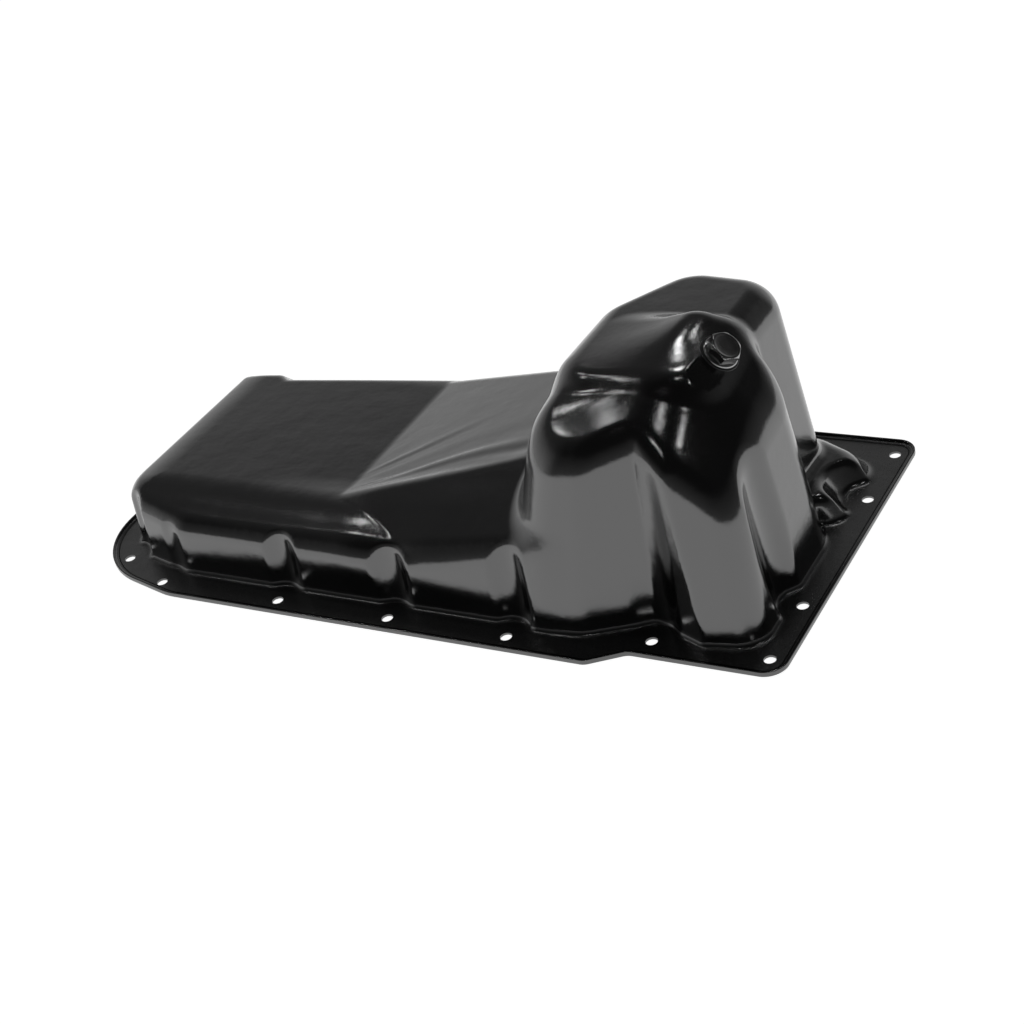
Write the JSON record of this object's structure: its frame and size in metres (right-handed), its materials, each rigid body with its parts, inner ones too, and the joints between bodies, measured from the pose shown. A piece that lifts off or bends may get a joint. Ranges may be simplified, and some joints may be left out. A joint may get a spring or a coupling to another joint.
{
  "type": "engine oil pan",
  "caption": "Pressed steel engine oil pan with a shallow trough, a ramp and a deep sump with a drain plug.",
  "frame": {"origin": "centre of the flange outline, on the gasket face", "axes": "+X towards the deep sump end, +Z from the gasket face towards the sump's bottom"},
  "size_m": [0.6384, 0.3332, 0.1907],
  "materials": {
    "black_paint": "gloss",
    "nut_paint": "gloss",
    "gasket_rubber": "satin",
    "plug_steel": "gloss"
  },
  "bodies": {
    "pan": {"oil_pan": "black_paint", "drain_nut": "nut_paint"},
    "washer": {"drain_gasket": "gasket_rubber"},
    "plug": {"drain_plug": "plug_steel"}
  },
  "joints": [
    {"name": "plug_lift", "type": "slide", "parent": "pan", "child": "washer", "axis": [0.6663, -0.0888, 0.7404], "range_m": [0, 0.009]},
    {"name": "plug_turn", "type": "hinge", "parent": "washer", "child": "plug", "pos_m": [0.2405, -0.0085, 0.1705], "axis": [0.6663, -0.0888, 0.7404], "range_deg": [0, 2160]}
  ],
  "couplings": [
    {"joint": "plug_lift", "follows": "plug_turn", "m_per_rad": 0.00023873}
  ]
}
